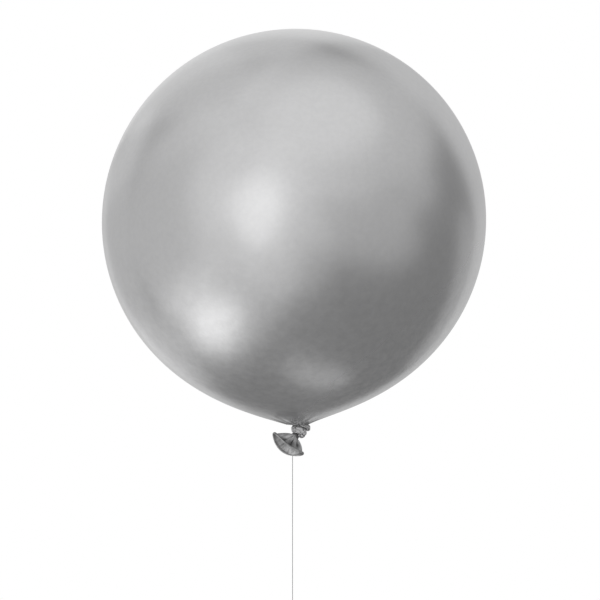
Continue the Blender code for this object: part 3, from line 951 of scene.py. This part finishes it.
def neck_latex():
    """The same latex unstretched: darker, with fine lines along it, and painted shade in its creases."""
    material, nodes, links = new_material("neck_latex")
    shader = nodes["Principled BSDF"]
    shader.inputs["Metallic"].default_value = 0.55
    coordinates = nodes.new("ShaderNodeTexCoord").outputs
    grain = noise_node(nodes, links, coordinates["Object"], scale=700.0)
    stretch = nodes.new("ShaderNodeMapping")
    stretch.inputs["Scale"].default_value = (46.0, 5.0, 1.0)
    links.new(coordinates["UV"], stretch.inputs["Vector"])
    lines = noise_node(nodes, links, stretch.outputs["Vector"], scale=1.0)
    lined = ramp_node(nodes, links, lines, NECK_TONES, MIDDLE_NOISE)
    relief = bump_node(nodes, links, lines, depth=0.0005)
    # painted shade: the tone darkened by the crease values of the knot, tail and lip
    links.new(painted_crease_shade_node(nodes, links, lined, NECK_PAINTED_CREASE_SHADE), shader.inputs["Base Color"])
    links.new(ramp_node(nodes, links, grain, greys(0.34, 0.48)), shader.inputs["Roughness"])
    links.new(bump_node(nodes, links, grain, depth=0.0001, under=relief), shader.inputs["Normal"])
    return material


def grey_cord():
    """Matt spun thread, slightly uneven in tone."""
    material, nodes, links = new_material("grey_cord")
    shader = nodes["Principled BSDF"]
    shader.inputs["Sheen Weight"].default_value = 0.3
    where = nodes.new("ShaderNodeTexCoord").outputs["Object"]
    fibre = noise_node(nodes, links, where, scale=2600.0)
    links.new(ramp_node(nodes, links, fibre, CORD_TONES), shader.inputs["Base Color"])
    links.new(ramp_node(nodes, links, fibre, greys(0.55, 0.8)), shader.inputs["Roughness"])
    return material


def pale_floor():
    """Matt and pale. A little light of its own stands for the lamps that would light it in a studio."""
    material, nodes, links = new_material("pale_floor")
    shader = nodes["Principled BSDF"]
    set_inputs(shader, {"Emission Strength": 0.6, "Roughness": 0.8})
    where = nodes.new("ShaderNodeTexCoord").outputs["Object"]
    speck = noise_node(nodes, links, where, scale=40.0)
    colour = ramp_node(nodes, links, speck, greys(0.83, 0.86))
    links.new(colour, shader.inputs["Base Color"])
    links.new(colour, shader.inputs["Emission Color"])
    return material


# Stage


def make_floor():
    turns = [FULL_TURN * i / FLOOR_SIDES for i in range(FLOOR_SIDES)]
    ring = [(FLOOR_RADIUS * math.cos(turn), FLOOR_RADIUS * math.sin(turn), 0.0) for turn in turns]
    mesh = bpy.data.meshes.new("floor")
    mesh.from_pydata(ring, [], [tuple(range(FLOOR_SIDES))])
    mesh.materials.append(pale_floor())
    floor = bpy.data.objects.new("floor", mesh)
    floor.location = (0.0, 0.0, FLOOR_HEIGHT)
    bpy.context.scene.collection.objects.link(floor)
    floor.visible_glossy = False
    floor.visible_diffuse = False


def make_world():
    """White where the camera looks past the balloon, and a soft grey for what lights it."""
    world = bpy.data.worlds.new("studio")
    bpy.context.scene.world = world
    world.use_nodes = True
    nodes, links = world.node_tree.nodes, world.node_tree.links
    nodes.clear()
    output = nodes.new("ShaderNodeOutputWorld")
    mix = nodes.new("ShaderNodeMixShader")
    path = nodes.new("ShaderNodeLightPath")
    links.new(path.outputs["Is Camera Ray"], mix.inputs["Fac"])
    for socket, strength in ((1, AMBIENT), (2, BACKDROP)):
        shine = nodes.new("ShaderNodeBackground")
        set_inputs(shine, {"Color": WHITE, "Strength": strength})
        links.new(shine.outputs["Background"], mix.inputs[socket])
    links.new(mix.outputs["Shader"], output.inputs["Surface"])


def soft_light(name, azimuth, elevation, distance, width, height, roll, radiance):
    """An oval soft box that faces the balloon.

    Its angles are in degrees, azimuth 0 towards the camera and 90 to the right. Its radiance is the
    strength that a perfect mirror would show.
    """
    data = bpy.data.lights.new(name, "AREA")
    data.shape = "ELLIPSE"
    data.size = width
    data.size_y = height
    data.energy = radiance * math.pi * math.pi * width * height / 4
    light = bpy.data.objects.new(name, data)
    around, up = math.radians(azimuth), math.radians(elevation)
    way = Vector((math.sin(around) * math.cos(up), -math.cos(around) * math.cos(up), math.sin(up)))
    across = Vector((0, 0, 1)).cross(way).normalized()
    turned = Matrix.Rotation(math.radians(roll), 3, way) @ across
    light.matrix_world = Matrix((turned, way.cross(turned), way)).transposed().to_4x4()
    light.location = distance * way
    light.visible_camera = False
    bpy.context.scene.collection.objects.link(light)


def make_lights():
    """What the skin mirrors: azimuth, elevation, distance, width, height, roll and radiance."""
    soft_light("key_round", -20, 5, 2.6, 1.3, 1.9, -5, 0.69)
    soft_light("key_halo", -20, -1, 2.8, 3.7, 7.0, 36, 0.20)
    soft_light("low_left", -68, -51, 2.3, 1.8, 0.8, 18, 0.74)
    soft_light("low_left_wide", -49, -44, 2.4, 7.0, 2.0, 22, 0.25)
    soft_light("overhead", 40, 57, 2.6, 7.0, 5.1, 8, 0.34)
    soft_light("overhead_core", 21, 57, 2.8, 3.5, 2.9, 30, 0.23)
    soft_light("overhead_back", -149, 49, 2.6, 7.0, 2.5, 46, 0.27)
    soft_light("upper_back", -154, 49, 2.6, 3.2, 1.2, -60, 0.17)
    soft_light("upper_left", -118, 42, 2.8, 7.0, 2.6, 33, 0.12)
    soft_light("left", -72, 5, 2.8, 7.0, 4.1, 70, 0.32)
    soft_light("front_right", 31, -2, 3.0, 6.2, 2.1, -16, 0.23)
    soft_light("right_upper", 74, 10, 3.0, 2.0, 0.7, 20, 0.25)
    soft_light("behind", 169, 9, 2.6, 6.5, 4.0, -45, 0.45)
    soft_light("behind_left", -131, -8, 2.6, 4.5, 2.0, -100, 0.35)
    soft_light("behind_low_left", -150, -28, 2.6, 1.7, 1.0, -12, 0.15)
    soft_light("behind_right", 127, -15, 2.6, 2.6, 0.85, -45, 0.22)
    soft_light("below", 126, -80, 1.8, 0.5, 1.2, -20, 0.25)


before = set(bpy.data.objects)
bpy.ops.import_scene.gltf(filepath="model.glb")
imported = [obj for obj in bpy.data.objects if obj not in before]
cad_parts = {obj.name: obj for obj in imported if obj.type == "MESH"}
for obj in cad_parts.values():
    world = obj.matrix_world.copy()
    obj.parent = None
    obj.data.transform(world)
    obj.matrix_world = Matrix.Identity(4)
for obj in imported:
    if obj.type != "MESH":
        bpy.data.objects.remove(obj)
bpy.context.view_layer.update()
bpy.context.scene.view_settings.view_transform = "Standard"
make_camera()
thread = grey_cord()
make_string(thread)
make_string_loop(thread)
make_string_knot(thread)
make_envelope(silver_latex())
neck = neck_latex()
make_knot(neck)
make_tail(neck)
make_bead(neck)
make_floor()
make_world()
make_lights()
